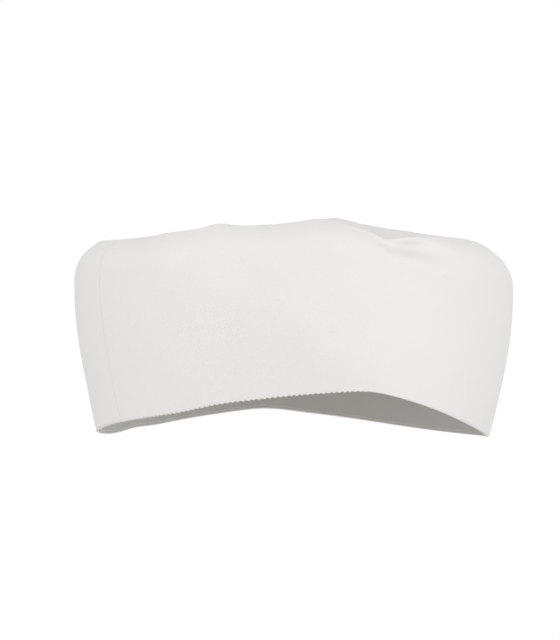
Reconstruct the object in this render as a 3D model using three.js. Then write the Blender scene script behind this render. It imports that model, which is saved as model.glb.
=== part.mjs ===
// Low chef's cap: a deep flared side band with a soft rounded shoulder and a slightly domed crown.
// Millimetres, +Z up, front of the cap toward -Y.  The origin is the middle of the head opening,
// at the mean height of the hem, where the wearer's head holds the cap.
import * as THREE from 'three';

// ---- Driving dimensions of the shaped cap --------------------------------------------------
// Head opening: an egg-shaped oval, 58 cm round, narrow end to the front.
const OPENING_HALF_WIDTH = 89.6;
const OPENING_HALF_LENGTH = 94.8;
const FRONT_TAPER = 0.08;

// Height of the hem round the opening: it dips over the ears and lifts at front and back.
const HEM_SADDLE = 6.3;
const HEM_CREST = 1.3;
const HEM_ROLL = -0.8;
const HEM_TWIST = -2.9;
const HEM_WAVE = 0.5;

// Side seams join the front and back halves of the band, a little forward of the ears.
const SIDE_SEAM_ANGLE = THREE.MathUtils.degToRad(81);

// Side wall: widens upward, then turns over a soft shoulder into the crown.
const WALL_FLARE = 0.116;
const WIDEST_HEIGHT = 64;
const SHOULDER_RISE = 15.2;
const SHOULDER_TUCK = 0.142;
const SEAM_TURN = THREE.MathUtils.degToRad(84);
const RIM_SADDLE = 1.9;
const RIM_ROLL = -2.9;
const CROWN_DOME = 8;
const DOME_POWER = 1.5;

// ---- Cloth, interlining and thread ---------------------------------------------------------
const TOUCH_GAP = 0.35;
const CLOTH = 0.9;
const STIFFENER = 0.5;
const ALLOWANCE_PLY = 1.0;
const CROWN_ALLOWANCE_PLY = 1.4;
const SWEATBAND_CLOTH = 0.8;
const THREAD = 0.5;
const OVERLOCK = 1.2;

// ---- Widths measured along the cloth -------------------------------------------------------
const BAND_WIDTH = 85;
const SEWN_IN_FROM_HEM = 2.5;
const CROWN_ALLOWANCE_WIDTH = 10;
const CROWN_OVERLOCK_WIDTH = 2.2;
const SIDE_ALLOWANCE_WIDTH = 16;
const SWEATBAND_SET_BACK = 1.2;
const SWEATBAND_WIDTH = 29;
const SWEATBAND_OVERLOCK_WIDTH = 2.6;
const HEM_STITCH_SET_BACK = 1.2;
const HEM_STITCH_WIDTH = 0.8;

// ---- Layers, as depths below the outer face ------------------------------------------------
const LINING_DEPTH = CLOTH + TOUCH_GAP;
const SWEATBAND_DEPTH = LINING_DEPTH + ALLOWANCE_PLY + TOUCH_GAP;
const OVERLOCK_MARGIN = (OVERLOCK - SWEATBAND_CLOTH) / 2;

// ---- Where the wall ends and the crown starts on the skin's running coordinate --------------
const SHOULDER_START = 0.8;
const CROWN_SEAM = 1;
const SHOULDER_END = 1.12;
const CROWN_CENTRE = 2;

// ---- Mesh fineness -------------------------------------------------------------------------
const FACET_ANGLE = THREE.MathUtils.degToRad(5);
const LOOP_STEPS = 72;
const ALLOWANCE_STEPS = 4;
const WALL_ROWS = 6;
const SHOULDER_ROWS = 6;
const TURNOVER_ROWS = 2;
const CROWN_RINGS = 6;
const STEP = 1e-4;

const QUARTER = Math.PI / 2;
const MEAN_RADIUS = (OPENING_HALF_WIDTH + OPENING_HALF_LENGTH) / 2;

// ---- Finishes ------------------------------------------------------------------------------
const clothMaterial = (name) => new THREE.MeshStandardMaterial({
  name, color: 0xf1f0ec, roughness: 0.92, metalness: 0,
});
const interliningMaterial = () => new THREE.MeshStandardMaterial({
  name: 'fused_interlining', color: 0xe6e4dd, roughness: 0.98, metalness: 0,
});
const threadMaterial = () => new THREE.MeshStandardMaterial({
  name: 'polyester_thread', color: 0xf6f6f3, roughness: 0.7, metalness: 0,
});

const TWILL = clothMaterial('cotton_twill');
const TAPE = clothMaterial('sweatband_twill');
const INTERLINING = interliningMaterial();
const POLY_THREAD = threadMaterial();

/** A width along the cloth as a share of the running coordinate. */
const alongCloth = (mm) => mm / BAND_WIDTH;

/** A width round the cap as an angle. */
const roundCap = (mm) => mm / MEAN_RADIUS;

// Linings stop short of the bound edge of the crown seam.
const LINING_TOP = CROWN_SEAM
  - alongCloth(CROWN_ALLOWANCE_WIDTH + CROWN_OVERLOCK_WIDTH + 4 * TOUCH_GAP);

/** Plan of the opening at an angle; 0 is the front, a quarter turn is the wearer's left (+X). */
function openingPlan(angle) {
  return {
    x: OPENING_HALF_WIDTH * Math.sin(angle) * (1 - FRONT_TAPER * Math.cos(angle)),
    y: -OPENING_HALF_LENGTH * Math.cos(angle),
  };
}

/** Height of the hem line. */
function hemHeight(angle) {
  return HEM_SADDLE * Math.cos(2 * angle) + HEM_CREST * Math.cos(4 * angle)
    + HEM_ROLL * Math.sin(angle) + HEM_TWIST * Math.sin(2 * angle)
    + HEM_WAVE * Math.sin(3 * angle);
}

/** How far the rim stands above or below its mean height. */
function rimLift(angle) {
  return RIM_ROLL * Math.sin(angle) + RIM_SADDLE * Math.cos(2 * angle);
}

/** Rise of the domed crown at a share of the opening plan. */
function domeRise(share) {
  return CROWN_DOME * (1 - (share / (1 + WALL_FLARE)) ** 2) ** DOME_POWER;
}

/** Share of the opening plan and height of the outer skin, from the hem (0) to the crown centre (2). */
function skinProfile(angle, run) {
  const widest = WIDEST_HEIGHT + rimLift(angle);
  if (run <= SHOULDER_START) {
    const rise = run / SHOULDER_START;
    const hem = hemHeight(angle);
    return { share: 1 + WALL_FLARE * (1 - (1 - rise) ** 2), z: hem + (widest - hem) * rise };
  }
  if (run <= SHOULDER_END) {
    const turn = run <= CROWN_SEAM
      ? SEAM_TURN * (run - SHOULDER_START) / (CROWN_SEAM - SHOULDER_START)
      : SEAM_TURN + (QUARTER - SEAM_TURN) * (run - CROWN_SEAM) / (SHOULDER_END - CROWN_SEAM);
    const share = 1 + WALL_FLARE - SHOULDER_TUCK * (1 - Math.cos(turn));
    return { share, z: widest + SHOULDER_RISE * Math.sin(turn) + domeRise(share) };
  }
  const left = (CROWN_CENTRE - run) / (CROWN_CENTRE - SHOULDER_END);
  const share = (1 + WALL_FLARE - SHOULDER_TUCK) * left;
  return {
    share,
    z: WIDEST_HEIGHT + SHOULDER_RISE + rimLift(angle) * left * left + domeRise(share),
  };
}

/** A point of the outer skin. */
function skinPoint(angle, run) {
  const plan = openingPlan(angle);
  const { share, z } = skinProfile(angle, run);
  return new THREE.Vector3(plan.x * share, plan.y * share, z);
}

/** A point at a depth below the outer skin, measured square to it. */
function layerPoint(angle, run, depth) {
  const here = skinPoint(angle, run);
  if (run > CROWN_CENTRE - STEP) return here.setZ(here.z - depth);
  const low = Math.max(run - STEP, 0);
  const round = skinPoint(angle + STEP, run).sub(skinPoint(angle - STEP, run));
  const up = skinPoint(angle, run + STEP).sub(skinPoint(angle, low));
  const outward = new THREE.Vector3().crossVectors(round, up).normalize();
  return here.addScaledVector(outward, -depth);
}

/** Evenly spaced runs from one value up to, but not including, another. */
const evenRuns = (low, high, count) => Array.from(
  { length: count }, (_, index) => low + (high - low) * index / count,
);

// Every layer is faceted at the same runs, so that the layers lie parallel.
const SHARED_RUNS = [
  ...evenRuns(0, SHOULDER_START, WALL_ROWS),
  ...evenRuns(SHOULDER_START, CROWN_SEAM, SHOULDER_ROWS),
  ...evenRuns(CROWN_SEAM, SHOULDER_END, TURNOVER_ROWS),
  ...evenRuns(SHOULDER_END, CROWN_CENTRE, CROWN_RINGS),
];

/** The runs at which a layer between two limits is faceted, both limits included. */
function layerRuns(low, high) {
  const margin = alongCloth(TOUCH_GAP);
  const inside = SHARED_RUNS.filter((run) => run > low + margin && run < high - margin);
  return [low, ...inside, high];
}

/** A closed mesh from corner points and triangles. */
function meshOf(name, points, triangles, material) {
  const geometry = new THREE.BufferGeometry();
  const coordinates = points.flatMap((point) => [point.x, point.y, point.z]);
  geometry.setAttribute('position', new THREE.Float32BufferAttribute(coordinates, 3));
  geometry.setIndex(triangles.flat());
  geometry.computeVertexNormals();
  const mesh = new THREE.Mesh(geometry, material);
  mesh.name = name;
  return mesh;
}

/** Two triangles of one four-cornered facet. */
const facet = (a, b, c, d) => [[a, b, c], [a, c, d]];

/** A strip of layered cloth that follows the skin over a span of angles and a run of its height. */
function strip(name, material, { from, to, low, high, outer, thick, around }) {
  const loop = Math.abs(to - from) > 2 * Math.PI - STEP;
  const columns = loop ? around : around + 1;
  const runs = layerRuns(low, high);
  const rows = runs.length;
  const along = rows - 1;
  const points = [];
  for (const depth of [outer, outer + thick]) {
    for (const run of runs) {
      for (let column = 0; column < columns; column += 1) {
        points.push(layerPoint(from + (to - from) * column / around, run, depth));
      }
    }
  }
  const at = (side, row, column) => (side * rows + row) * columns + column % columns;
  const triangles = [];
  for (let column = 0; column < around; column += 1) {
    const next = column + 1;
    for (let row = 0; row < along; row += 1) {
      triangles.push(...facet(at(0, row, column), at(0, row, next),
        at(0, row + 1, next), at(0, row + 1, column)));
      triangles.push(...facet(at(1, row, column), at(1, row + 1, column),
        at(1, row + 1, next), at(1, row, next)));
    }
    triangles.push(...facet(at(0, 0, column), at(1, 0, column), at(1, 0, next), at(0, 0, next)));
    triangles.push(...facet(at(0, along, column), at(0, along, next),
      at(1, along, next), at(1, along, column)));
  }
  if (!loop) {
    for (let row = 0; row < along; row += 1) {
      triangles.push(...facet(at(0, row, 0), at(0, row + 1, 0), at(1, row + 1, 0), at(1, row, 0)));
      triangles.push(...facet(at(0, row, around), at(1, row, around),
        at(1, row + 1, around), at(0, row + 1, around)));
    }
  }
  return meshOf(name, points, triangles, material);
}

/** The oval crown cloth, from just inside the crown seam to its centre. */
function crownPanel() {
  const runs = layerRuns(CROWN_SEAM + alongCloth(2 * TOUCH_GAP), CROWN_CENTRE).slice(0, -1);
  const rings = runs.length;
  const points = [];
  for (const depth of [0, CLOTH]) {
    for (const run of runs) {
      for (let column = 0; column < LOOP_STEPS; column += 1) {
        points.push(layerPoint(2 * Math.PI * column / LOOP_STEPS, run, depth));
      }
    }
  }
  const topCentre = points.push(layerPoint(0, CROWN_CENTRE, 0)) - 1;
  const underCentre = points.push(layerPoint(0, CROWN_CENTRE, CLOTH)) - 1;
  const at = (side, ring, column) => (side * rings + ring) * LOOP_STEPS + column % LOOP_STEPS;
  const triangles = [];
  const last = rings - 1;
  for (let column = 0; column < LOOP_STEPS; column += 1) {
    const next = column + 1;
    for (let ring = 0; ring < last; ring += 1) {
      triangles.push(...facet(at(0, ring, column), at(0, ring, next),
        at(0, ring + 1, next), at(0, ring + 1, column)));
      triangles.push(...facet(at(1, ring, column), at(1, ring + 1, column),
        at(1, ring + 1, next), at(1, ring, next)));
    }
    triangles.push([at(0, last, column), at(0, last, next), topCentre]);
    triangles.push([at(1, last, next), at(1, last, column), underCentre]);
    triangles.push(...facet(at(0, 0, column), at(1, 0, column), at(1, 0, next), at(0, 0, next)));
  }
  return meshOf('crown_panel', points, triangles, TWILL);
}

/** One half of the side band: outer cloth, the stiffener fused behind it and its hem stitching. */
function bandHalf(half, middle, halfSpan) {
  const seamGap = roundCap(TOUCH_GAP / 2);
  const clearOfSeam = roundCap(SIDE_ALLOWANCE_WIDTH / 2 + 2 * TOUCH_GAP);
  const around = Math.round(2 * halfSpan / FACET_ANGLE);
  const span = (margin) => ({
    from: middle - halfSpan + margin, to: middle + halfSpan - margin, around,
  });
  const stitchLow = alongCloth(HEM_STITCH_SET_BACK);
  return [
    strip(`band_${half}_panel`, TWILL, {
      ...span(seamGap), low: 0, high: CROWN_SEAM, outer: 0, thick: CLOTH,
    }),
    strip(`${half}_stiffener`, INTERLINING, {
      ...span(clearOfSeam), low: alongCloth(SEWN_IN_FROM_HEM), high: LINING_TOP,
      outer: LINING_DEPTH, thick: STIFFENER,
    }),
    strip(`hem_stitching_${half}`, POLY_THREAD, {
      ...span(seamGap), low: stitchLow, high: stitchLow + alongCloth(HEM_STITCH_WIDTH),
      outer: -TOUCH_GAP - THREAD, thick: THREAD,
    }),
  ];
}

/** The opened and pressed edges of one side seam. */
function sideSeamAllowance(side, middle) {
  const half = roundCap(SIDE_ALLOWANCE_WIDTH / 2);
  return strip(`${side}_side_seam_allowance`, TWILL, {
    from: middle - half, to: middle + half, low: alongCloth(SEWN_IN_FROM_HEM), high: LINING_TOP,
    outer: LINING_DEPTH, thick: ALLOWANCE_PLY, around: ALLOWANCE_STEPS,
  });
}

/** The edges of the crown seam turned down inside the band, and the thread that binds them. */
function crownSeam() {
  const high = CROWN_SEAM - alongCloth(TOUCH_GAP);
  const low = high - alongCloth(CROWN_ALLOWANCE_WIDTH);
  const threadHigh = low - alongCloth(TOUCH_GAP);
  const ring = { from: 0, to: 2 * Math.PI, around: LOOP_STEPS };
  return [
    strip('crown_seam_allowance', TWILL, {
      ...ring, low, high, outer: LINING_DEPTH, thick: CROWN_ALLOWANCE_PLY,
    }),
    strip('crown_seam_overlock', POLY_THREAD, {
      ...ring, low: threadHigh - alongCloth(CROWN_OVERLOCK_WIDTH), high: threadHigh,
      outer: LINING_DEPTH, thick: CROWN_ALLOWANCE_PLY,
    }),
  ];
}

/** The headband strip inside the hem, its ends meeting at centre back, and its bound upper edge. */
function sweatband() {
  const join = roundCap(TOUCH_GAP);
  const span = { from: join - Math.PI, to: Math.PI - join, around: LOOP_STEPS };
  const low = alongCloth(SWEATBAND_SET_BACK);
  const high = low + alongCloth(SWEATBAND_WIDTH);
  const threadLow = high + alongCloth(TOUCH_GAP);
  return [
    strip('sweatband', TAPE, {
      ...span, low, high, outer: SWEATBAND_DEPTH, thick: SWEATBAND_CLOTH,
    }),
    strip('sweatband_overlock', POLY_THREAD, {
      ...span, low: threadLow, high: threadLow + alongCloth(SWEATBAND_OVERLOCK_WIDTH),
      outer: SWEATBAND_DEPTH - OVERLOCK_MARGIN, thick: OVERLOCK,
    }),
  ];
}

const group = new THREE.Group();
group.name = 'low_chefs_cap';
group.add(
  crownPanel(),
  ...bandHalf('front', 0, SIDE_SEAM_ANGLE),
  ...bandHalf('back', Math.PI, Math.PI - SIDE_SEAM_ANGLE),
  sideSeamAllowance('left', SIDE_SEAM_ANGLE),
  sideSeamAllowance('right', -SIDE_SEAM_ANGLE),
  ...crownSeam(),
  ...sweatband(),
);

export default group;
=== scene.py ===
"""A low chef's cap of white twill: flared side band, soft rim and domed crown, sewn like the real one."""
import logging
import math
from dataclasses import dataclass, field
from enum import Enum

import bpy
import numpy as np
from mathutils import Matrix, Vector


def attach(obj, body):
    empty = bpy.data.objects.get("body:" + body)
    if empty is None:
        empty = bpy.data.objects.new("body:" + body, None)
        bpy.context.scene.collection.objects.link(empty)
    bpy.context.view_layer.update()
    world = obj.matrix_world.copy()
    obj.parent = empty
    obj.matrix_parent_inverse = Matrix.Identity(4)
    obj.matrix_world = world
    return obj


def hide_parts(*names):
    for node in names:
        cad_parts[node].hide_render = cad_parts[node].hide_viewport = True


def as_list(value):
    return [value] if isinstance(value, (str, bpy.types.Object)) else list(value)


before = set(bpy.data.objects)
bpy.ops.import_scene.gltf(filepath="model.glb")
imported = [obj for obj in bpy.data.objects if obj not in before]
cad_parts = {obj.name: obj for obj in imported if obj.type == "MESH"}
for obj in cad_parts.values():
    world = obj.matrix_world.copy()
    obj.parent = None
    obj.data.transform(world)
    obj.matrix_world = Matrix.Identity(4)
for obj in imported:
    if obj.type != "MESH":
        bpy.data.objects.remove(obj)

LOG = logging.getLogger("cap")
MM = 0.001
THREAD_RADIUS = 0.15
THREAD_SIDES = 6
TIP_BULGE = 0.6
Array = np.ndarray
Material = bpy.types.Material
Node = bpy.types.Node
Object = bpy.types.Object
Socket = bpy.types.NodeSocket
Tree = bpy.types.NodeTree


# ---------------------------------------------------------------- the shape the cloth is worn in


class Slot(Enum):
    """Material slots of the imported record."""

    SHELL = "shell_cloth"
    SWEATBAND = "sweatband_cloth"
    INTERLINING = "interlining"
    THREAD = "thread"


# The running coordinate climbs the cloth: 0 at the hem, then the widest place, the crown seam,
# the flat of the crown and its centre. Distances along the cloth are in millimetres.
WIDE_RUN = 0.8
SEAM_RUN = 1.0
FLAT_RUN = 1.12
CENTRE_RUN = 2.0
RUNS = (-WIDE_RUN, WIDE_RUN, SEAM_RUN, FLAT_RUN, CENTRE_RUN)
SEAM_AT = 86.9
CROWN_AT = 178.8
DISTANCES = (-66.0, 66.0, SEAM_AT, 88.3, CROWN_AT)
WIDE_RADIUS = 95.0
SIDE_SEAM = math.radians(81.0)


def run_at(distance: Array | float) -> Array:
    """Running coordinate at a distance along the cloth from the hem, millimetres."""
    return np.interp(distance, DISTANCES, RUNS)


def distance_at(run: Array | float) -> Array:
    """Distance along the cloth from the hem, millimetres, at a running coordinate."""
    return np.interp(run, RUNS, DISTANCES)


@dataclass(frozen=True)
class Billow:
    """One soft swelling, dent or crease in the worn cloth.

    It is centred at an angle (degrees) and a run. Its half lengths along and across its long
    axis, and its movements, are in millimetres. The long axis is level when tilt is 0 and rises
    towards the wearer's left when tilt (degrees) is positive. A sharpness of 2 gives a round bell,
    1 a pointed crease.
    """

    angle: float
    run: float
    along: float
    across: float
    out: float = 0.0
    up: float = 0.0
    tilt: float = 0.0
    sharpness: float = 2.0

    def weight(self, angle: Array, run: Array) -> Array:
        """Share of the movement felt at each place.

        Args:
            angle: Angles round the cap, radians.
            run: Running coordinate, 0 at the hem, 1 at the crown seam, 2 at the crown centre.

        Returns:
            exp(-(|a|^s + |b|^s) / 2), a and b the distances along and across the long axis in
            units of the half lengths, s the sharpness.
        """
        turn = (angle - math.radians(self.angle) + math.pi) % (2 * math.pi) - math.pi
        level, rise = turn * WIDE_RADIUS, distance_at(run) - distance_at(self.run)
        lean = math.radians(self.tilt)
        a = (level * math.cos(lean) + rise * math.sin(lean)) / self.along
        b = (rise * math.cos(lean) - level * math.sin(lean)) / self.across
        return np.exp(-0.5 * (np.abs(a) ** self.sharpness + np.abs(b) ** self.sharpness))


@dataclass(frozen=True)
class CrownFold:
    """One long, low fold of the slack crown: centre, bearing (degrees) and sizes, millimetres."""

    x: float
    y: float
    bearing: float
    along: float
    across: float
    up: float

    def rise(self, x: Array, y: Array) -> Array:
        """Height of the fold over the crown.

        Args:
            x: Sideways positions, millimetres.
            y: Lengthways positions, millimetres.

        Returns:
            up cos(1.5 b) exp(-(a^2 + b^2) / 2), a and b the distances along and across the fold
            in units of its sizes, its line bent by a third of a^2.
        """
        turn = math.radians(self.bearing)
        right, ahead = x - self.x, y - self.y
        a = (right * math.cos(turn) + ahead * math.sin(turn)) / self.along
        b = (ahead * math.cos(turn) - right * math.sin(turn)) / self.across + a**2 / 3
        return self.up * np.cos(1.5 * b) * np.exp(-0.5 * (a**2 + b**2))


@dataclass(frozen=True)
class CapForm:
    """The outer skin of the worn cap as a function of an angle and a running coordinate."""

    half_width: float = 89.6
    half_length: float = 94.8
    front_taper: float = 0.08
    hem_saddle: float = 6.3
    hem_crest: float = 1.3
    hem_roll: float = -0.8
    hem_twist: float = -2.9
    hem_wave: float = 0.5
    flare: float = 0.116
    widest_height: float = 64.0
    shoulder_rise: float = 15.2
    shoulder_tuck: float = 0.142
    seam_turn: float = math.radians(84.0)
    slope_step: float = 4e-3
    rim_saddle: float = 1.9
    rim_roll: float = -2.9
    crown_dome: float = 8.0
    dome_power: float = 1.5
    rim_cord: float = 0.55
    rim_cord_at: float = 0.985
    rim_cord_width: float = 0.02
    stitch_pitch: float = 2.54
    scallop: float = 0.5
    scallop_fade: float = 0.9
    scallop_power: float = 0.7
    scallop_level: float = 0.6
    wall_length: float = 85.0
    gather: float = 0.3
    gather_at: float = 97.0
    gather_reach: tuple[float, float] = (5.0, 16.0)
    fold_start: float = 91.0
    fold_fade: float = 16.0
    pucker: float = 0.12
    pucker_width: float = 0.05
    # Height in millimetres, waves round the cap, waves up it in radians, and start in radians.
    slow_waves: tuple[tuple[float, float, float, float], ...] = (
        (0.35, 3.0, 4.0, 0.6),
        (0.22, 7.0, -5.0, 2.1),
        (0.12, 13.0, 9.0, 0.0),
    )
    billows: tuple[Billow, ...] = (
        # The rim slumps over the wearer's right temple, with a crest and a sharp dip in front.
        Billow(-46, 1.0, 46, 30, up=-2.4, sharpness=4),
        Billow(-43, 1.0, 6, 10, up=1.7),
        Billow(-70, 1.0, 9, 12, up=-1.7),
        Billow(-84, 1.12, 12, 14, up=-1.4),
        Billow(-11, 1.0, 10, 14, up=2.0),
        Billow(6, 1.0, 10.5, 14, up=-8.0, sharpness=1.3),
        Billow(3, 1.36, 14, 15, up=2.8),
        Billow(-2, 1.2, 9, 7, up=1.5),
        Billow(18, 1.22, 16, 9, up=0.9),
        Billow(-4, 1.0, 8, 4, out=2.6, up=-1.5),
        Billow(16, 1.0, 12, 12, up=-2.0),
        Billow(29, 1.0, 14, 20, up=-1.6),
        # At the dip the slack rim leans out over a short slanting hollow.
        Billow(10, 1.0, 16, 8, out=8.0),
        Billow(13, 0.893, 14, 4.6, out=-5.0, tilt=-15),
        Billow(14, 0.825, 16, 5, out=2.2, tilt=-15),
        # A short crease where the rim is pinched.
        Billow(-27, 0.95, 2.2, 5, out=-0.9, tilt=25),
        # A soft slanting fold across the front.
        Billow(-17, 0.33, 45, 9, out=1.3, tilt=-32),
        # The hem's own small rises and falls.
        Billow(-43, 0.0, 11, 25, up=0.8),
        Billow(-15, 0.0, 14, 25, up=-0.6),
        Billow(3, 0.0, 9, 25, up=0.7),
        Billow(70, 0.0, 12, 25, up=-0.7),
        Billow(173, 0.0, 11, 25, up=1.3),
        Billow(-141, 0.0, 9, 25, up=1.1),
        # The sides lean a little towards the wearer's right.
        Billow(-107, 0.65, 45, 22, out=0.8),
        Billow(-107, 0.2, 40, 18, out=-0.8),
        Billow(-107, 0.0, 30, 9, out=1.0),
        Billow(73, 0.05, 40, 25, out=-1.0),
    )
    folds: tuple[CrownFold, ...] = (
        CrownFold(10, -36, 96, 20, 6, -1.4),
        CrownFold(-38, -8, 35, 32, 8, 1.3),
        CrownFold(32, 8, -28, 34, 8, -1.3),
        CrownFold(-8, 40, 12, 38, 8, 1.2),
        CrownFold(-52, 30, 68, 22, 6, -0.9),
        CrownFold(48, 46, 128, 24, 7, 1.0),
        CrownFold(2, 4, -60, 26, 9, 0.8),
    )

    def plan(self, angle: Array) -> tuple[Array, Array]:
        """Egg-shaped plan: x = a sin t (1 - k cos t), y = -b cos t; t = 0 is the front."""
        x = self.half_width * np.sin(angle) * (1.0 - self.front_taper * np.cos(angle))
        return x, -self.half_length * np.cos(angle)

    def hem_height(self, angle: Array) -> Array:
        """Height of the saddle-shaped hem line.

        Args:
            angle: Angles round the cap, radians.

        Returns:
            Heights in millimetres: a short sum of sines and cosines of the angle.
        """
        return (
            self.hem_saddle * np.cos(2 * angle)
            + self.hem_crest * np.cos(4 * angle)
            + self.hem_roll * np.sin(angle)
            + self.hem_twist * np.sin(2 * angle)
            + self.hem_wave * np.sin(3 * angle)
        )

    def dome(self, share: Array) -> Array:
        """Rise of the domed crown, zero at the rim."""
        inside = np.clip(1.0 - (share / (1.0 + self.flare)) ** 2, 0.0, 1.0)
        return self.crown_dome * inside**self.dome_power

    def profile(self, angle: Array, run: Array) -> tuple[Array, Array]:
        """Share of the plan and height of the smooth skin.

        Args:
            angle: Angles round the cap, radians.
            run: Running coordinate, slightly negative under the hem fold.

        Returns:
            share and height: a parabola for the flared wall, a quarter ellipse for the shoulder,
            and a dome over the crown.
        """
        lift = self.rim_roll * np.sin(angle) + self.rim_saddle * np.cos(2 * angle)
        widest = self.widest_height + lift
        rise = run / WIDE_RUN
        hem = self.hem_height(angle)
        wall = 1.0 + self.flare * (1.0 - (1.0 - rise) ** 2), hem + (widest - hem) * rise
        turn = np.interp(run, RUNS[1:4], [0.0, self.seam_turn, math.pi / 2])
        share = 1.0 + self.flare - self.shoulder_tuck * (1.0 - np.cos(turn))
        shoulder = share, widest + self.shoulder_rise * np.sin(turn) + self.dome(share)
        left = np.clip((CENTRE_RUN - run) / (CENTRE_RUN - FLAT_RUN), 0.0, 1.0)
        share = (1.0 + self.flare - self.shoulder_tuck) * left
        top = self.widest_height + self.shoulder_rise
        crown = share, top + lift * left**2 + self.dome(share)
        low, high = run <= WIDE_RUN, run > FLAT_RUN
        return (
            np.where(low, wall[0], np.where(high, crown[0], shoulder[0])),
            np.where(low, wall[1], np.where(high, crown[1], shoulder[1])),
        )

    def skin(self, angle: Array, run: Array) -> Array:
        """Points of the outer skin, with its soft form and the scallops of the stitched hem.

        Args:
            angle: Angles round the cap, radians.
            run: Running coordinate.

        Returns:
            Points in millimetres, the last axis being x, y, z.
        """
        angle, run = np.broadcast_arrays(angle, run)
        x, y = self.plan(angle)
        share, z = self.profile(angle, run)
        size = np.hypot(x / self.half_width**2, y / self.half_length**2)
        across = x / self.half_width**2 / size, y / self.half_length**2 / size
        out = np.zeros_like(z)
        up = np.zeros_like(z)
        for billow in self.billows:
            weight = billow.weight(angle, run)
            out += billow.out * weight
            up += billow.up * weight
        near_hem = np.exp(-np.clip(run * self.wall_length, 0.0, None) / self.scallop_fade)
        between = np.abs(np.sin(self.stitches_from_front(angle) * math.pi)) ** self.scallop_power
        up += self.scallop_at(angle) * near_hem * (self.scallop_level - between)
        from_cord = (run - self.rim_cord_at) / self.rim_cord_width
        up += self.rim_cord * np.exp(-(from_cord**2))
        up += self.gathers(angle, run) + self.slack(x * share, y * share, run)
        out += self.undulation(angle, run)
        return np.stack([x * share + across[0] * out, y * share + across[1] * out, z + up], -1)

    def stitches_from_front(self, angle: Array) -> Array:
        """Count of hem stitches from centre front to an angle, fractional in mid-stitch."""
        return angle * (self.half_width + self.half_length) / 2 / self.stitch_pitch

    def scallop_at(self, angle: Array) -> Array:
        """Depth of the hem's scallops between its stitches.

        Args:
            angle: Angles round the cap, radians.

        Returns:
            Depths in millimetres: a tenth everywhere, and the whole from the front to the
            wearer's right temple, with a smooth step at either end.
        """
        turn = (angle + math.pi) % (2 * math.pi) - math.pi
        rise, fall = np.tanh((turn + 1.25) * 9.0), np.tanh((turn - 0.02) * 14.0)
        return self.scallop * (0.1 + 0.45 * (rise - fall))

    def undulation(self, angle: Array, run: Array) -> Array:
        """Outward movement of the soft cloth.

        Args:
            angle: Angles round the cap, radians.
            run: Running coordinate.

        Returns:
            Movements in millimetres: three slow waves that slant across the cloth and vanish at
            the hem and the crown's centre, and two fine ones in a narrow bell at the crown seam.
        """
        waves = (
            height * np.sin(round_cap * angle + upward * run + start)
            for height, round_cap, upward, start in self.slow_waves
        )
        slow = sum(waves) * np.clip(run, 0.0, 1.0) * np.clip(CENTRE_RUN - run, 0.0, 1.0)
        at_seam = np.exp(-(((run - SEAM_RUN) / self.pucker_width) ** 2))
        puckers = np.sin(41.0 * angle + 0.8 * np.sin(5.0 * angle)) + 0.6 * np.sin(67.0 * angle + 1.0)
        return slow + self.pucker * at_seam * puckers

    def gathers(self, angle: Array, run: Array) -> Array:
        """Rise of the short gathers where the crown is eased into its seam.

        Args:
            angle: Angles round the cap, radians.
            run: Running coordinate.

        Returns:
            Rises in millimetres: two waves round the cap whose strength swells and fades, in a
            bell centred a centimetre inside the seam, steeper towards the seam than away from it.
        """
        inward = distance_at(run) - self.gather_at
        near = np.exp(-((inward / np.where(inward < 0.0, *self.gather_reach)) ** 2))
        ease = np.sin(29.0 * angle + 1.5 * np.sin(4.0 * angle)) + 0.7 * np.sin(17.0 * angle + 2.0)
        return self.gather * near * ease * (0.6 + 0.4 * np.sin(3.0 * angle + 1.0))

    def slack(self, x: Array, y: Array, run: Array) -> Array:
        """Rise of the crown's long folds, fading to nothing at the rim, in millimetres."""
        fade = np.clip((distance_at(run) - self.fold_start) / self.fold_fade, 0.0, 1.0)
        return fade * sum(fold.rise(x, y) for fold in self.folds)

    def layer(self, angle: Array, run: Array, depth: Array) -> Array:
        """Points at depths below the skin, square to it, in metres.

        Args:
            angle: Angles round the cap, radians.
            run: Running coordinate.
            depth: Depth below the outer face, millimetres; negative stands proud.

        Returns:
            Points in metres, the last axis being x, y, z.
        """
        angle, run, depth = np.broadcast_arrays(angle, run, depth)
        here = self.skin(angle, run)
        step = self.slope_step
        safe = np.minimum(run, CENTRE_RUN - 2 * step)
        round_cap = self.skin(angle + step, safe) - self.skin(angle - step, safe)
        upward = self.skin(angle, safe + step) - self.skin(angle, safe - step)
        normal = np.cross(round_cap, upward)
        normal /= np.linalg.norm(normal, axis=-1, keepdims=True)
        pole = (run > CENTRE_RUN - 3 * step)[..., None]
        normal = np.where(pole, np.array([0.0, 0.0, 1.0]), normal)
        return (here - normal * depth[..., None]) * MM


FORM = CapForm()
MEAN_RADIUS = (FORM.half_width + FORM.half_length) / 2


# ---------------------------------------------------------------- meshes from numpy surfaces


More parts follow.
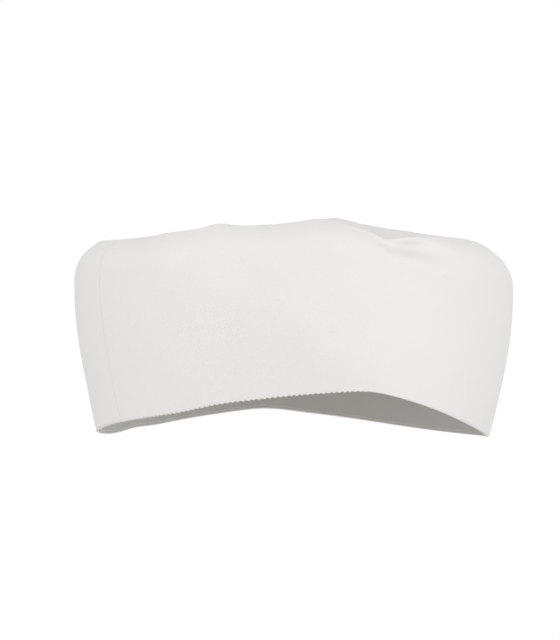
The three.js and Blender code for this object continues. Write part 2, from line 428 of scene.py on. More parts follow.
@dataclass
class Surface:
    """Points, faces and cloth coordinates of one closed piece, gathered as whole arrays."""

    points: list[Array] = field(default_factory=list)
    quads: list[Array] = field(default_factory=list)
    triangles: list[Array] = field(default_factory=list)
    cloth: list[Array] = field(default_factory=list)
    count: int = 0

    def add_points(self, points: Array, cloth: Array) -> Array:
        """Adds a grid of points.

        Args:
            points: Points in metres, the last axis being x, y, z.
            cloth: Their cloth coordinates in metres, the last axis being u, v.

        Returns:
            The grid of their indices.
        """
        shape = points.shape[:-1]
        self.points.append(points.reshape(-1, 3))
        self.cloth.append(cloth.reshape(-1, 2))
        index = np.arange(self.count, self.count + int(np.prod(shape))).reshape(shape)
        self.count += index.size
        return index

    def add_quads(self, a: Array, b: Array, c: Array, d: Array) -> None:
        """Adds four-cornered faces from four index arrays of one shape."""
        self.quads.append(np.stack([a, b, c, d], -1).reshape(-1, 4))

    def add_triangles(self, a: Array, b: Array, c: Array) -> None:
        """Adds triangles from three index arrays that broadcast together."""
        self.triangles.append(np.stack(np.broadcast_arrays(a, b, c), -1).reshape(-1, 3))

    def build(self, name: str, material: Material, slot: Slot) -> Object:
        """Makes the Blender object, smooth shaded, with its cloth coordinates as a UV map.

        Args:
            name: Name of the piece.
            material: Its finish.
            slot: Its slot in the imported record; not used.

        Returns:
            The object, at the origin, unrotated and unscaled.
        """
        points = np.concatenate(self.points)
        quads = np.concatenate(self.quads)
        triangles = np.concatenate(self.triangles) if self.triangles else np.zeros((0, 3), int)
        corners = np.concatenate([quads.ravel(), triangles.ravel()])
        sizes = np.concatenate([np.full(len(quads), 4), np.full(len(triangles), 3)])
        mesh = bpy.data.meshes.new(name)
        mesh.vertices.add(len(points))
        mesh.vertices.foreach_set("co", points.astype(np.float32).ravel())
        mesh.loops.add(len(corners))
        mesh.loops.foreach_set("vertex_index", corners.astype(np.int32))
        mesh.polygons.add(len(sizes))
        starts = np.concatenate([[0], np.cumsum(sizes)[:-1]])
        mesh.polygons.foreach_set("loop_start", starts.astype(np.int32))
        mesh.polygons.foreach_set("loop_total", sizes.astype(np.int32))
        mesh.update(calc_edges=True)
        mesh.validate()
        mesh.polygons.foreach_set("use_smooth", np.ones(len(mesh.polygons), bool))
        layer = mesh.uv_layers.new(name="Cloth")
        cloth = np.concatenate(self.cloth)[corners]
        layer.data.foreach_set("uv", cloth.astype(np.float32).ravel())
        mesh.materials.append(material)
        obj = bpy.data.objects.new(name, mesh)
        bpy.context.scene.collection.objects.link(obj)
        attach(obj, "root")
        LOG.info("%s: %d points, %d faces", name, len(points), len(sizes))
        return obj


def flat_line(distances: Array, depth: float) -> Array:
    """Middle line of a ply at one depth, as rows of (distance from hem, depth), millimetres."""
    return np.stack([distances, np.full_like(distances, depth)], -1)


def rolled_edge(edge: float, mid: float, radius: float, away: float) -> Array:
    """Quarter circle by which a ply turns inward at the crown seam.

    Args:
        edge: Distance of the turned stretch from the hem, millimetres.
        mid: Depth of the middle of the ply, millimetres.
        radius: Radius of the turn, millimetres.
        away: 1 where the ply lies above its seam, -1 where it lies below.

    Returns:
        Rows of (distance from hem, depth), the innermost first, millimetres.
    """
    turn = np.linspace(0.0, math.pi / 2, 6)[:-1]
    distance = edge + away * radius * (1 - np.cos(turn))
    return np.stack([distance, mid + radius * (1 - np.sin(turn))], -1)


def ply_section(line: Array, thick: float) -> tuple[Array, Array]:
    """Two faces of a ply of cloth seen in section, with rounded edges.

    Args:
        line: Middle line of the ply, rows of (distance from hem, depth), millimetres.
        thick: Thickness, millimetres.

    Returns:
        The outer and the inner face as rows of (distance, depth), of one length, meeting at both
        ends: each is the middle line moved half a thickness to one side, and drawn in near the
        ends as a half circle.
    """
    half = thick / 2
    ends = half * (1.0 - np.cos(np.linspace(0.0, math.pi / 2, 4)))
    step = np.linalg.norm(np.diff(line, axis=0), axis=1)
    length = np.concatenate([[0.0], np.cumsum(step)])
    rounded = half * 1.2
    inner = length[(length > rounded) & (length < length[-1] - rounded)]
    at = np.concatenate([ends, inner, (length[-1] - ends)[::-1]])
    middle = np.stack([np.interp(at, length, line[:, k]) for k in range(2)], -1)
    tangent = np.gradient(middle, axis=0)
    tangent /= np.linalg.norm(tangent, axis=1, keepdims=True) + 1e-12
    side = np.stack([-tangent[:, 1], tangent[:, 0]], -1)
    from_end = np.minimum(at, length[-1] - at)
    reach = np.sqrt(np.clip(half**2 - np.clip(half - from_end, 0.0, None) ** 2, 0.0, None))
    return middle - side * reach[:, None], middle + side * reach[:, None]


def sweep(
    section: Array, angles: Array, sink: Array | float = 0.0, slide: Array | float = 0.0
) -> tuple[Surface, Array]:
    """Lays a closed section on the cap at each of many angles.

    Args:
        section: Points of the section in order, rows of (distance from hem, depth), millimetres.
        angles: Angles of the columns, radians.
        sink: Extra depth at each column, millimetres.
        slide: Extra distance from the hem at each column, millimetres.

    Returns:
        A surface that holds the points but no faces yet, and their indices by column and row.
    """
    distance = section[:, 0] + np.broadcast_to(slide, angles.shape)[:, None]
    depth = section[:, 1] + np.broadcast_to(sink, angles.shape)[:, None]
    points = FORM.layer(angles[:, None], run_at(distance), depth)
    steps = np.linalg.norm(np.diff(section, axis=0), axis=1)
    travelled = np.concatenate([[0.0], np.cumsum(steps)])
    cloth = np.stack(np.broadcast_arrays(angles[:, None] * MEAN_RADIUS * MM, travelled * MM), -1)
    surface = Surface()
    return surface, surface.add_points(points, cloth)


def swept_ply(
    line: Array, thick: float, angles: Array, sink: Array | float = 0.0, slide: Array | float = 0.0
) -> Surface:
    """A ply of cloth swept round the cap between two angles, closed at both ends.

    Args:
        line: Middle line of the ply in section, rows of (distance from hem, depth), millimetres.
        thick: Thickness, millimetres.
        angles: Angles of the columns, rising, radians.
        sink: Extra depth at each column, millimetres.
        slide: Extra distance from the hem at each column, millimetres.

    Returns:
        The closed surface: every column is the section laid on the cap at its angle.
    """
    outer, inner = ply_section(line, thick)
    surface, index = sweep(np.concatenate([outer, inner[-2:0:-1]]), angles, sink, slide)
    following = np.roll(index, -1, axis=1)
    surface.add_quads(index[:-1], index[1:], following[1:], following[:-1])
    last = len(outer) - 1
    for column, forward in ((index[0], False), (index[-1], True)):
        face = column[: last + 1]
        back = np.concatenate([column[:1], column[last + 1 :][::-1], column[last : last + 1]])
        a, b, c, d = face[1:-2], face[2:-1], back[2:-1], back[1:-2]
        surface.add_quads(*((a, b, c, d) if forward else (a, d, c, b)))
        for tip, one, two in ((face[0], face[1], back[1]), (face[-1], back[-2], face[-2])):
            surface.add_triangles(*((tip, one, two) if forward else (tip, two, one)))
    return surface


def swept_ring(line: Array, thick: float, columns: int) -> Surface:
    """A ply of cloth swept all the way round the cap.

    Args:
        line: Middle line of the ply in section, rows of (distance from hem, depth), millimetres.
        thick: Thickness, millimetres.
        columns: Number of columns round the cap.

    Returns:
        The closed ring.
    """
    outer, inner = ply_section(line, thick)
    angles = np.linspace(0.0, 2 * math.pi, columns, endpoint=False)
    surface, index = sweep(np.concatenate([outer, inner[-2:0:-1]]), angles)
    right, up = np.roll(index, -1, axis=0), np.roll(index, -1, axis=1)
    surface.add_quads(index, right, np.roll(right, -1, axis=1), up)
    return surface


def threads(paths: Array) -> Surface:
    """Round threads along open paths, closed at their ends.

    Args:
        paths: Path points in metres, shaped (threads, points, 3).

    Returns:
        One surface holding all the threads; each cross-section is a ring square to the path.
    """
    radius = THREAD_RADIUS * MM
    tangent = np.gradient(paths, axis=1)
    tangent /= np.linalg.norm(tangent, axis=-1, keepdims=True) + 1e-12
    helper = np.where(np.abs(tangent[..., 2:]) < 0.9, [[[0.0, 0.0, 1.0]]], [[[1.0, 0.0, 0.0]]])
    one = np.cross(tangent, helper)
    one /= np.linalg.norm(one, axis=-1, keepdims=True)
    two = np.cross(tangent, one)
    turn = np.linspace(0.0, 2 * math.pi, THREAD_SIDES, endpoint=False)
    ring = np.cos(turn)[:, None] * one[:, :, None] + np.sin(turn)[:, None] * two[:, :, None]
    points = paths[:, :, None] + radius * ring
    step = np.linalg.norm(np.diff(paths, axis=1), axis=-1)
    along = np.concatenate([np.zeros((len(paths), 1)), np.cumsum(step, axis=1)], 1)
    cloth = np.stack(np.broadcast_arrays(along[..., None], turn * radius), -1)
    surface = Surface()
    index = surface.add_points(points, cloth)
    right = np.roll(index, -1, axis=2)
    surface.add_quads(index[:, :-1], right[:, :-1], right[:, 1:], index[:, 1:])
    beyond = np.array([-1.0, 1.0])[None, :, None] * radius * TIP_BULGE
    ends = paths[:, [0, -1]] + tangent[:, [0, -1]] * beyond
    tips = surface.add_points(ends, np.stack([along[:, [0, -1]], np.zeros((len(paths), 2))], -1))
    surface.add_triangles(tips[:, :1], right[:, 0], index[:, 0])
    surface.add_triangles(tips[:, 1:], index[:, -1], right[:, -1])
    return surface


# ---------------------------------------------------------------- finishes


def linear(colour: str) -> tuple[float, ...]:
    """Linear light of a screen colour.

    Args:
        colour: sRGB as hex, such as '#F2F1EC'.

    Returns:
        Red, green, blue and a full alpha.
    """
    channels = [int(colour[k : k + 2], 16) / 255 for k in (1, 3, 5)]
    light = [c / 12.92 if c <= 0.04045 else ((c + 0.055) / 1.055) ** 2.4 for c in channels]
    return (*light, 1.0)


def add_node(tree: Tree, kind: str, inputs: dict | None = None, **settings: object) -> Node:
    """Adds a shader node.

    Args:
        tree: The node tree.
        kind: Node type, such as 'ShaderNodeMath'.
        inputs: Values or sockets for its inputs, by name or number.
        settings: Properties of the node.

    Returns:
        The node.
    """
    node = tree.nodes.new(kind)
    for key, value in settings.items():
        setattr(node, key, value)
    for key, value in (inputs or {}).items():
        if isinstance(value, Socket):
            tree.links.new(value, node.inputs[key])
        else:
            node.inputs[key].default_value = value
    return node


def cloth_coordinates(tree: Tree) -> tuple[Socket, Socket]:
    """Adds nodes that read the piece's cloth coordinates.

    Args:
        tree: The node tree.

    Returns:
        u and v, which run along the weave or the thread, in metres.
    """
    cloth = add_node(tree, "ShaderNodeUVMap", uv_map="Cloth")
    split = add_node(tree, "ShaderNodeSeparateXYZ", {0: cloth.outputs[0]})
    return split.outputs[0], split.outputs[1]


def wave(tree: Tree, u: Socket, v: Socket, per_u: float, per_v: float) -> Socket:
    """Adds nodes for sin(2 pi (per_u u + per_v v)).

    Args:
        tree: The node tree.
        u: First cloth coordinate, metres.
        v: Second cloth coordinate, metres.
        per_u: Waves per metre along the first.
        per_v: Waves per metre along the second.

    Returns:
        The wave, between -1 and 1.
    """
    across = {0: u, 1: 2 * math.pi * per_u}
    turned = add_node(tree, "ShaderNodeMath", across, operation="MULTIPLY").outputs[0]
    along = {0: v, 1: 2 * math.pi * per_v, 2: turned}
    phase = add_node(tree, "ShaderNodeMath", along, operation="MULTIPLY_ADD").outputs[0]
    return add_node(tree, "ShaderNodeMath", {0: phase}, operation="SINE").outputs[0]


@dataclass(frozen=True)
class Finish:
    """A matt finish in two close tones, raised by its own yarns or fibres.

    The relief is in millimetres. Each kind of finish says how its surface rises.
    """

    name: str
    colour: str
    shade: str
    relief: float
    bump: float
    roughness: float
    ior: float
    specular: float
    sheen: float = 0.0
    sheen_roughness: float = 0.6

    def surface(self, tree: Tree) -> tuple[Socket, Socket]:
        """Height of the surface and share of its lighter colour; each kind of finish has its own."""
        raise NotImplementedError(self.name)

    def build(self) -> Material:
        """Makes the material: the surface drives the bump and mixes the two tones.

        Returns:
            The material.
        """
        material = bpy.data.materials.new(self.name)
        material.use_nodes = True
        tree = material.node_tree
        tree.nodes.clear()
        height, share = self.surface(tree)
        relief = {"Strength": self.bump, "Distance": self.relief * MM, "Height": height}
        bump = add_node(tree, "ShaderNodeBump", relief)
        tones = {0: share, 6: linear(self.shade), 7: linear(self.colour)}
        mix = add_node(tree, "ShaderNodeMix", tones, data_type="RGBA")
        look = {
            "Base Color": mix.outputs[2],
            "Roughness": self.roughness,
            "IOR": self.ior,
            "Specular IOR Level": self.specular,
            "Sheen Weight": self.sheen,
            "Sheen Roughness": self.sheen_roughness,
            "Normal": bump.outputs[0],
        }
        shader = add_node(tree, "ShaderNodeBsdfPrincipled", look)
        add_node(tree, "ShaderNodeOutputMaterial", {0: shader.outputs[0]})
        return material


@dataclass(frozen=True)
class WovenCloth(Finish):
    """Woven, bleached cloth: matt diffuse fibre with raised diagonal or crossed yarns."""

    relief: float = 0.021
    bump: float = 0.5
    roughness: float = 0.92
    ior: float = 1.5
    specular: float = 0.25
    sheen: float = 0.08
    yarn_pitch: float = 1.1
    diagonal: bool = True
    weft: float = 0.45
    slubs: float = 1.4
    clouding: float = 0.5
    # How strongly the relief is painted into the colour: lighter crests and darker hollows, painted
    # shading.
    painted_yarn_shading: float = 0.17

    def surface(self, tree: Tree) -> tuple[Socket, Socket]:
        """Yarns as two crossed waves over the cloth coordinates, unevenly spun, with painted shading that
        follows them.

        Args:
            tree: The node tree.

        Returns:
            Height of the surface and share of its lighter colour, higher on crests (painted highlight)
            and lower in hollows (painted shade).
        """
        u, v = cloth_coordinates(tree)
        # The real yarns are about 0.4 mm apart; they are drawn coarser, because finer ones
        # blur away at the distance the cap is looked at from.
        per = 1.0 / (self.yarn_pitch * MM)
        first = wave(tree, u, v, per, per if self.diagonal else 0.0)
        second = wave(tree, u, v, per * (0.5 if self.diagonal else 0.0), -per)
        crossed = {0: second, 1: self.weft, 2: first}
        yarn = add_node(tree, "ShaderNodeMath", crossed, operation="MULTIPLY_ADD").outputs[0]
        # Uneven spinning: thick places a millimetre or so apart give the cloth a linen-like life.
        place = add_node(tree, "ShaderNodeTexCoord").outputs["Object"]
        spinning = {"Vector": place, "Scale": 900.0, "Detail": 2.0, "Roughness": 0.6}
        slub = add_node(tree, "ShaderNodeTexNoise", spinning).outputs[0]
        raised = {0: slub, 1: self.slubs, 2: yarn}
        height = add_node(tree, "ShaderNodeMath", raised, operation="MULTIPLY_ADD").outputs[0]
        # Washing and handling leave the white very slightly uneven, in patches about 4 cm wide.
        washing = {"Vector": place, "Scale": 26.0, "Detail": 3.0, "Roughness": 0.5}
        cloud = add_node(tree, "ShaderNodeTexNoise", washing).outputs[0]
        uneven = {0: cloud, 1: self.clouding}
        tone = add_node(tree, "ShaderNodeMath", uneven, operation="MULTIPLY").outputs[0]
        # Painted shading: the colour is lighter where yarns and slubs stand high and darker in the
        # hollows, added to the random washing tone.
        share = {0: height, 1: self.painted_yarn_shading, 2: tone}
        mixed = add_node(tree, "ShaderNodeMath", share, operation="MULTIPLY_ADD", use_clamp=True)
        return height, mixed.outputs[0]


@dataclass(frozen=True)
class FusedInterlining(Finish):
    """Non-woven interlining, pressed and glued: a felted mat with no direction."""

    name: str = "fused_nonwoven_interlining"
    colour: str = "#E9E7E0"
    shade: str = "#CFCCC2"
    relief: float = 0.12
    bump: float = 0.5
    roughness: float = 0.98
    ior: float = 1.45
    specular: float = 0.2

    def surface(self, tree: Tree) -> tuple[Socket, Socket]:
        """Matted fibres two thirds of a millimetre apart, which give a papery, speckled surface.

        Args:
            tree: The node tree.

        Returns:
            Height of the surface and share of its lighter colour, which are the same.
        """
        place = add_node(tree, "ShaderNodeTexCoord").outputs["Object"]
        matting = {"Vector": place, "Scale": 1500.0, "Detail": 4.0, "Distortion": 1.5}
        fibre = add_node(tree, "ShaderNodeTexNoise", matting).outputs[0]
        return fibre, fibre


@dataclass(frozen=True)
class SpunThread(Finish):
    """Spun polyester sewing thread: two plies twisted, a little shinier than the cloth."""

    name: str = "spun_polyester_thread"
    colour: str = "#F4F4F1"
    # The darker tone is the painted shade between the plies.
    shade: str = "#D6D5D0"
    relief: float = 0.08
    bump: float = 0.6
    roughness: float = 0.62
    ior: float = 1.55
    specular: float = 0.4
    twist_pitch: float = 0.5
    bars_round: float = 1000.0

    def surface(self, tree: Tree) -> tuple[Socket, Socket]:
        """The plies catch the light as slanting bars, also painted into the colour as highlight and
        shade.

        Args:
            tree: The node tree.

        Returns:
            Height of the surface and share of its lighter colour, which are the same: painted highlight
            and shade.
        """
        u, v = cloth_coordinates(tree)
        ply = wave(tree, u, v, 1.0 / (self.twist_pitch * MM), self.bars_round)
        # Painted highlight and shade: the ply bars set the colour as well as the bump.
        halved = {0: ply, 1: 0.5, 2: 0.5}
        bar = add_node(tree, "ShaderNodeMath", halved, operation="MULTIPLY_ADD").outputs[0]
        return bar, bar


@dataclass
class Finishes:
    """The cap's materials, built once and shared by its pieces."""

    shell: Material
    tape: Material
    interlining: Material
    thread: Material

    @classmethod
    def build(cls) -> "Finishes":
        """Builds every finish.

        Returns:
            The four materials.
        """
        twill = WovenCloth("bleached_twill", "#DFDEDC", "#D6D5D3")
        # The tape's tones are darker than the shell's: partly the tape's own off-white, partly painted
        # shade for the dim inside of the cap.
        tape = WovenCloth(
            "plain_woven_tape", "#D6D4D0", "#CDCBC7", relief=0.02, yarn_pitch=0.9, diagonal=False
        )
        return cls(twill.build(), tape.build(), FusedInterlining().build(), SpunThread().build())


# ---------------------------------------------------------------- sub-assemblies


@dataclass
class BandHalf:
    """Half of the side band: outer cloth turned up at the hem, stiffener and hem stitches.

    Angles are in radians, sizes in millimetres. A stitch row is given by its height and depth.
    """

    half: str
    middle: float
    half_span: float
    finishes: Finishes
    cloth: float = 0.42
    cloth_ease: float = 1.08
    turn_up: float = 10.0
    turn_up_depth: float = 1.09
    fold_allowance: float = 2.0
    seam_gap: float = 0.02
    seam_roll: float = 0.14
    edge_roll: float = 0.12
    edge_roll_width: float = 0.35
    stiffener: float = 0.3
    stiffener_depth: float = 0.65
    stiffener_low: float = 2.5
    stiffener_high: float = 69.0
    stiffener_clear: float = 9.0
    stiffener_share: float = 0.95
    outer_row: tuple[float, float] = (0.45, 0.08)
    inner_row: tuple[float, float] = (1.0, 1.9)
    stitch_bow: float = 0.15
    stitches_clear: float = 1.2
    columns_per_stitch: int = 4

    def angles(self, margin: float) -> Array:
        """Columns between the side seams, finer beside them.

        Args:
            margin: Distance kept clear at either seam, millimetres.

        Returns:
            Rising angles in radians.
        """
        span = self.half_span - margin / MEAN_RADIUS
        first, last = self.middle - span, self.middle + span
        step = FORM.stitch_pitch / MEAN_RADIUS / self.columns_per_stitch
        even = np.arange(math.ceil(first / step), math.floor(last / step) + 1) * step
        fine = np.array([0.0, 0.1, 0.2, 0.35, 0.6]) / MEAN_RADIUS
        inside = even[(even > first + fine[-1] * 1.5) & (even < last - fine[-1] * 1.5)]
        return np.concatenate([first + fine, inside, (last - fine)[::-1]])

    def cloth_line(self) -> Array:
        """Middle line of the outer cloth: up from its edge inside, round the hem fold, to the crown.

        Returns:
            Rows of (distance from hem, depth), millimetres.
        """
        mid = self.cloth / 2
        edge = SEAM_AT - self.seam_gap - mid
        seam = rolled_edge(edge, mid, self.seam_roll, -1.0)
        # Rows lie closer together on the shoulder and just above the hem.
        spans = ((edge - self.seam_roll, 62.0, 24), (60.5, 9.0, 26), (8.0, 0.8, 10))
        wall = flat_line(np.concatenate([np.linspace(*span) for span in spans]), mid)
        radius = (self.turn_up_depth - mid) / 2
        turn = np.linspace(math.pi / 2, -math.pi / 2, 9)
        fold = np.stack([radius * (1 - np.cos(turn)), mid + radius * (1 - np.sin(turn))], -1)
        ply = flat_line(np.linspace(1.0, self.turn_up, 6), self.turn_up_depth)
        return np.concatenate([seam, wall, fold, ply])[::-1]

    def build(self) -> list[Object]:
        """Returns:
            The outer cloth, the stiffener and the stitches.
        """
        angles = self.angles(self.seam_gap)
        edge = np.minimum(angles - angles[0], angles[-1] - angles) * MEAN_RADIUS
        sink = self.edge_roll * np.exp(-((edge / self.edge_roll_width) ** 2))
        panel = swept_ply(self.cloth_line(), self.cloth, angles, sink).build(
            f"band_{self.half}_cloth", self.finishes.shell, Slot.SHELL
        )
        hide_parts(f"band_{self.half}_panel")
        heights = np.linspace(self.stiffener_low, self.stiffener_high, 24)
        columns = self.angles(self.stiffener_clear)[::3]
        line = flat_line(heights, self.stiffener_depth)
        stiffener = swept_ply(line, self.stiffener, columns).build(
            f"{self.half}_interlining", self.finishes.interlining, Slot.INTERLINING
        )
        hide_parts(f"{self.half}_stiffener")
        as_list(panel)
        return [panel, stiffener, self.stitch_row()]

    def stitch_row(self) -> Object:
        """The hem stitches: one short thread per stitch and side, bowed out between its holes.

        Returns:
            The stitches as one piece.
        """
        span = self.half_span - self.stitches_clear / MEAN_RADIUS
        low = math.ceil(float(FORM.stitches_from_front(np.array(self.middle - span))))
        high = math.floor(float(FORM.stitches_from_front(np.array(self.middle + span))))
        holes = np.arange(low, high)
        along = np.linspace(0.06, 0.94, 7)
        angle = (holes[:, None] + along[None]) * FORM.stitch_pitch / MEAN_RADIUS
        bow = np.sin(along * math.pi) ** 0.5
        rows = []
        for (height, depth), inward in ((self.outer_row, -1.0), (self.inner_row, 1.0)):
            rows.append(FORM.layer(angle, run_at(height), depth + inward * self.stitch_bow * bow))
        row = threads(np.concatenate(rows)).build(
            f"hem_stitches_{self.half}", self.finishes.thread, Slot.THREAD
        )
        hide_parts(f"hem_stitching_{self.half}")
        return row


@dataclass
class Overlock:
    """Overlock thread: a flattened screw that wraps the raw edge of a ply, one turn a stitch.

    The edge is a distance from the hem and the depth that of the ply's middle, in millimetres.
    Inward is 1 where the ply lies above its raw edge and -1 where it lies below. The bite is half
    the width of the screw, and centre is how far its axis lies inside the edge. Proud is how far
    the thread's own middle stands off the ply.
    """

    name: str
    edge: float
    depth: float
    thick: float
    inward: float
    first: float
    last: float
    bite: float = 1.4
    centre: float = 1.2
    proud: float = 0.16
    points_a_turn: int = 12
    share_covered: float = 0.9985

    def build(self, material: Material) -> Object:
        """Builds the thread.

        Args:
            material: Its finish.

        Returns:
            The thread, at distance edge + inward (centre - bite cos t) and depth middle + h sin t,
            the sine flattened by a square root.
        """
        span = self.last - self.first
        turns = int(span * MEAN_RADIUS / FORM.stitch_pitch)
        t = np.linspace(0.0, 1.0, turns * self.points_a_turn + 1)
        phase = 2 * math.pi * turns * t
        angle = self.first + span * t * self.share_covered
        over = self.thick / 2 + self.proud
        wrap = np.sign(np.sin(phase)) * np.abs(np.sin(phase)) ** 0.5
        distance = self.edge + self.inward * (self.centre - self.bite * np.cos(phase))
        path = FORM.layer(angle, run_at(distance), self.depth + over * wrap)
        return threads(path[None]).build(self.name, material, Slot.THREAD)


@dataclass
class Crown:
    """The soft oval top: crown cloth, the seam edges inside it and the thread that binds them."""

    finishes: Finishes
    cloth: float = 0.42
    columns: int = 480
    seam_gap: float = 0.02
    seam_roll: float = 0.14
    allowance: float = 10.0
    allowance_depth: float = 1.5
    allowance_thick: float = 0.9
    allowance_below: float = 1.4
    allowance_ease: float = 1.06
    cut_size: float = 2.14

    def panel(self) -> Object:
        """The crown cloth, swept from its top centre over the rolled edge to its under centre.

        Returns:
            The piece.
        """
        mid = self.cloth / 2
        reach = SEAM_AT + self.seam_gap + mid
        seam = rolled_edge(reach, mid, self.seam_roll, 1.0)
        # Rows lie closer together beside the seam.
        near_seam = np.linspace(reach + self.seam_roll, 95.0, 12)
        inward = np.linspace(96.5, CROWN_AT - 1.0, 50)
        line = np.concatenate([seam, flat_line(np.concatenate([near_seam, inward]), mid)])
        # The rounded end at the centre is cut off, and both faces close there in a point instead.
        first, second = ply_section(line, self.cloth)
        under, top = first[:-4], second[:-4]
        loop = np.concatenate([top[::-1], under[1:]])
        angles = np.linspace(0.0, 2 * math.pi, self.columns, endpoint=False)
        points = FORM.layer(angles[:, None], run_at(loop[:, 0])[None], loop[:, 1][None])
        surface = Surface()
        index = surface.add_points(points, points[..., :2])
        right = np.roll(index, -1, axis=0)
        surface.add_quads(index[:, :-1], index[:, 1:], right[:, 1:], right[:, :-1])
        for column, depth, flip in ((0, top[-1, 1], False), (-1, under[-1, 1], True)):
            centre = FORM.layer(np.array([0.0]), np.array([CENTRE_RUN]), np.array([depth]))
            tip = surface.add_points(centre, centre[..., :2])
            a, b = index[:, column], right[:, column]
            surface.add_triangles(tip, *((b, a) if flip else (a, b)))
        panel = surface.build("crown_cloth", self.finishes.shell, Slot.SHELL)
        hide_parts("crown_panel")
        return panel

    def seam(self) -> list[Object]:
        """The turned-down seam edges and the overlock thread spiralling round their raw edge.

        Returns:
            The edges and the thread.
        """
        high = SEAM_AT - self.allowance_below
        heights = np.linspace(high - self.allowance, high, 9)
        line = flat_line(heights, self.allowance_depth)
        edges = swept_ring(line, self.allowance_thick, self.columns).build(
            "crown_seam_edges", self.finishes.shell, Slot.SHELL
        )
        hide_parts("crown_seam_allowance")
        ply = heights[0], self.allowance_depth, self.allowance_thick
        thread = Overlock("crown_seam_overlock_thread", *ply, 1.0, 0.0, 2 * math.pi)
        bound = thread.build(self.finishes.thread)
        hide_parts("crown_seam_overlock")
        return [edges, bound]

    def build(self) -> list[Object]:
        """Builds the crown's three pieces."""
        return [self.panel(), *self.seam()]


@dataclass
class SideSeam:
    """The opened and pressed edges of one side seam, inside the band; their overlock thread is not drawn.
    """

    side: str
    angle: float
    finishes: Finishes
    width: float = 16.0
    low: float = 11.0
    high: float = 70.0
    thick: float = 0.42
    depth: float = 1.05
    edge_roll: float = 0.15
    columns: int = 33

    def build(self) -> Object:
        """Builds the seam edges as one pressed ply, slightly rolled at its long edges.

        Returns:
            The piece.
        """
        half = self.width / 2 / MEAN_RADIUS
        angles = self.angle + np.linspace(-half, half, self.columns)
        line = flat_line(np.linspace(self.low, self.high, 60), self.depth)
        edge = np.abs(np.linspace(-1.0, 1.0, self.columns))
        ply = swept_ply(line, self.thick, angles, self.edge_roll * edge**6).build(
            f"{self.side}_side_seam_edges", self.finishes.shell, Slot.SHELL
        )
        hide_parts(f"{self.side}_side_seam_allowance")
        return ply


@dataclass
class Sweatband:
    """The headband tape inside the hem, its ends meeting at centre back, with its bound edge."""

    finishes: Finishes
    low: float = -0.1
    width: float = 29.0
    thick: float = 0.42
    depth: float = 1.85
    end_gap: float = 0.03
    back_drop: float = 0.35
    lowest_at: float = math.radians(163.0)

    def build(self) -> list[Object]:
        """Builds the tape and the overlock thread along its free edge.

        Returns:
            The tape and the thread.
        """
        gap = self.end_gap / MEAN_RADIUS
        heights = np.linspace(self.low, self.low + self.width, 26)
        line = flat_line(heights, self.depth)
        first, last = gap - math.pi, math.pi - gap
        fine = np.array([0.0, 0.08, 0.2]) / MEAN_RADIUS
        between = np.linspace(first, last, 600)[1:-1]
        angles = np.concatenate([first + fine, between, (last - fine)[::-1]])
        # Towards the back the tape hangs a hair lower and hides the edge of the hem fold.
        drop = self.back_drop * np.clip(np.cos(angles - self.lowest_at) / 0.3, 0.0, 1.0)
        tape = swept_ply(line, self.thick, angles, slide=-drop).build(
            "sweatband_tape", self.finishes.tape, Slot.SWEATBAND
        )
        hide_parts("sweatband")
        ply = heights[-1], self.depth, self.thick
        thread = Overlock("sweatband_overlock_thread", *ply, -1.0, first, last)
        bound = thread.build(self.finishes.thread)
        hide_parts("sweatband_overlock")
        return [tape, bound]


# ---------------------------------------------------------------- studio


def towards(azimuth: float, elevation: float) -> Vector:
    """Direction in which a light or the camera stands.

    Args:
        azimuth: Degrees round the cap, 0 straight in front of it.
        elevation: Degrees above the level.

    Returns:
        A unit vector.
    """
    turn, lift = math.radians(azimuth), math.radians(elevation)
    level = math.cos(lift)
    return Vector((math.sin(turn) * level, -math.cos(turn) * level, math.sin(lift)))


@dataclass(frozen=True)
class SoftBox:
    """A square soft light; angles in degrees round and above the cap, distances in metres."""

    name: str
    azimuth: float
    elevation: float
    distance: float
    size: float
    power: float

    def build(self, aim: Vector) -> None:
        """Adds the light, turned to the cap.

        Args:
            aim: The point it is turned to, metres.
        """
        back = towards(self.azimuth, self.elevation)
        data = bpy.data.lights.new(self.name, "AREA")
        data.size, data.energy = self.size, self.power
        light = bpy.data.objects.new(self.name, data)
        light.location = aim + back * self.distance
        light.rotation_euler = back.to_track_quat("Z", "Y").to_euler()
        bpy.context.scene.collection.objects.link(light)


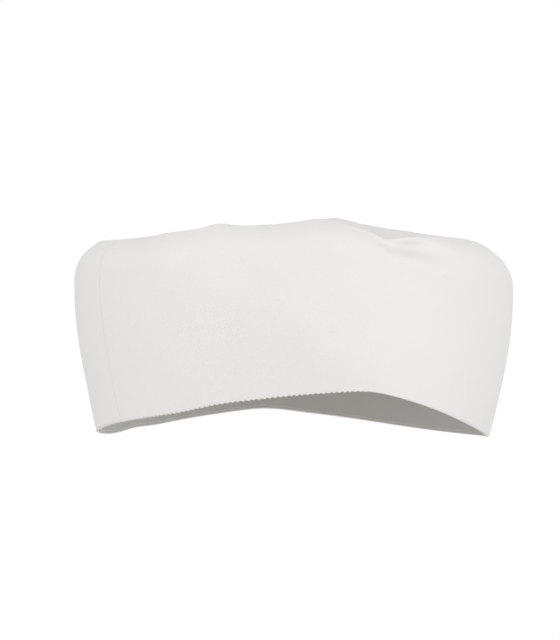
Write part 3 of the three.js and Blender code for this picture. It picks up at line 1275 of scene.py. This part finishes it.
@dataclass(frozen=True)
class Studio:
    """Plain white room: pale floor well under the held-up cap, soft light and the camera."""

    floor_drop: float = 0.9
    floor_size: float = 10.4
    floor_colour: str = "#EDEDED"
    floor_roughness: float = 0.9
    sky: float = 1.0
    overhead_fall: float = 0.38
    fall_from: float = 0.2
    camera_azimuth: float = -17.0
    camera_elevation: float = -2.5
    camera_distance: float = 1.5
    aim: tuple[float, float, float] = (-0.0093, -0.0019, 0.0454)
    lens: float = 184.0
    sensor: float = 36.0
    clip: tuple[float, float] = (0.05, 60.0)
    boxes: tuple[SoftBox, ...] = (
        SoftBox("key_softbox", -15.0, 14.0, 1.6, 0.9, 7.7),
        SoftBox("fill_softbox", -105.0, 16.0, 1.6, 1.0, 3.1),
        SoftBox("low_softbox", 62.0, -9.0, 1.3, 0.4, 2.4),
        SoftBox("back_softbox", 165.0, 22.0, 1.8, 1.2, 1.8),
    )

    def add_floor(self) -> None:
        """Adds the matt floor, far enough down to cast no shadow shape near the cap."""
        half = self.floor_size / 2
        corners = [(-half, -half), (half, -half), (half, half), (-half, half)]
        mesh = bpy.data.meshes.new("floor")
        mesh.from_pydata([(x, y, -self.floor_drop) for x, y in corners], [], [(0, 1, 2, 3)])
        floor = bpy.data.objects.new("floor", mesh)
        bpy.context.scene.collection.objects.link(floor)
        paper = bpy.data.materials.new("white_studio_floor")
        paper.use_nodes = True
        shader = paper.node_tree.nodes["Principled BSDF"]
        shader.inputs["Base Color"].default_value = linear(self.floor_colour)
        shader.inputs["Roughness"].default_value = self.floor_roughness
        mesh.materials.append(paper)

    def add_sky(self) -> None:
        """Adds a white room, bright all round and a little dimmer overhead."""
        world = bpy.data.worlds.new("white_room")
        world.use_nodes = True
        tree = world.node_tree
        ground = tree.nodes["Background"]
        ground.inputs["Color"].default_value = (1.0, 1.0, 1.0, 1.0)
        direction = add_node(tree, "ShaderNodeTexCoord")
        split = add_node(tree, "ShaderNodeSeparateXYZ", {0: direction.outputs["Object"]})
        rise = {0: split.outputs[2], 1: self.fall_from}
        height = add_node(tree, "ShaderNodeMath", rise, operation="MAXIMUM").outputs[0]
        start = self.sky + self.fall_from * self.overhead_fall
        dimming = {0: height, 1: -self.overhead_fall, 2: start}
        level = add_node(tree, "ShaderNodeMath", dimming, operation="MULTIPLY_ADD").outputs[0]
        tree.links.new(level, ground.inputs["Strength"])
        bpy.context.scene.world = world

    def add_camera(self, aim: Vector) -> None:
        """Adds the camera, turned to the cap.

        Args:
            aim: The point it is turned to, metres.
        """
        data = bpy.data.cameras.new("camera")
        data.lens, data.sensor_width = self.lens, self.sensor
        data.clip_start, data.clip_end = self.clip
        camera = bpy.data.objects.new("camera", data)
        camera.location = towards(self.camera_azimuth, self.camera_elevation) * self.camera_distance
        camera.rotation_mode = "QUATERNION"
        camera.rotation_quaternion = (camera.location - aim).to_track_quat("Z", "Y")
        bpy.context.scene.collection.objects.link(camera)
        bpy.context.scene.camera = camera

    def build(self) -> None:
        """Adds floor, sky, lights and camera."""
        bpy.context.scene.view_settings.view_transform = "Standard"
        self.add_floor()
        self.add_sky()
        aim = Vector(self.aim)
        for box in self.boxes:
            box.build(aim)
        self.add_camera(aim)


def main() -> None:
    """Builds the cap piece by piece, then the studio."""
    logging.basicConfig(level=logging.INFO, format="%(message)s")
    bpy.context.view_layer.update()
    finishes = Finishes.build()
    BandHalf("front", 0.0, SIDE_SEAM, finishes).build()
    BandHalf("back", math.pi, math.pi - SIDE_SEAM, finishes).build()
    Crown(finishes).build()
    for side, angle in (("left", SIDE_SEAM), ("right", -SIDE_SEAM)):
        SideSeam(side, angle, finishes).build()
    Sweatband(finishes).build()
    Studio().build()


if __name__ == "__main__":
    main()
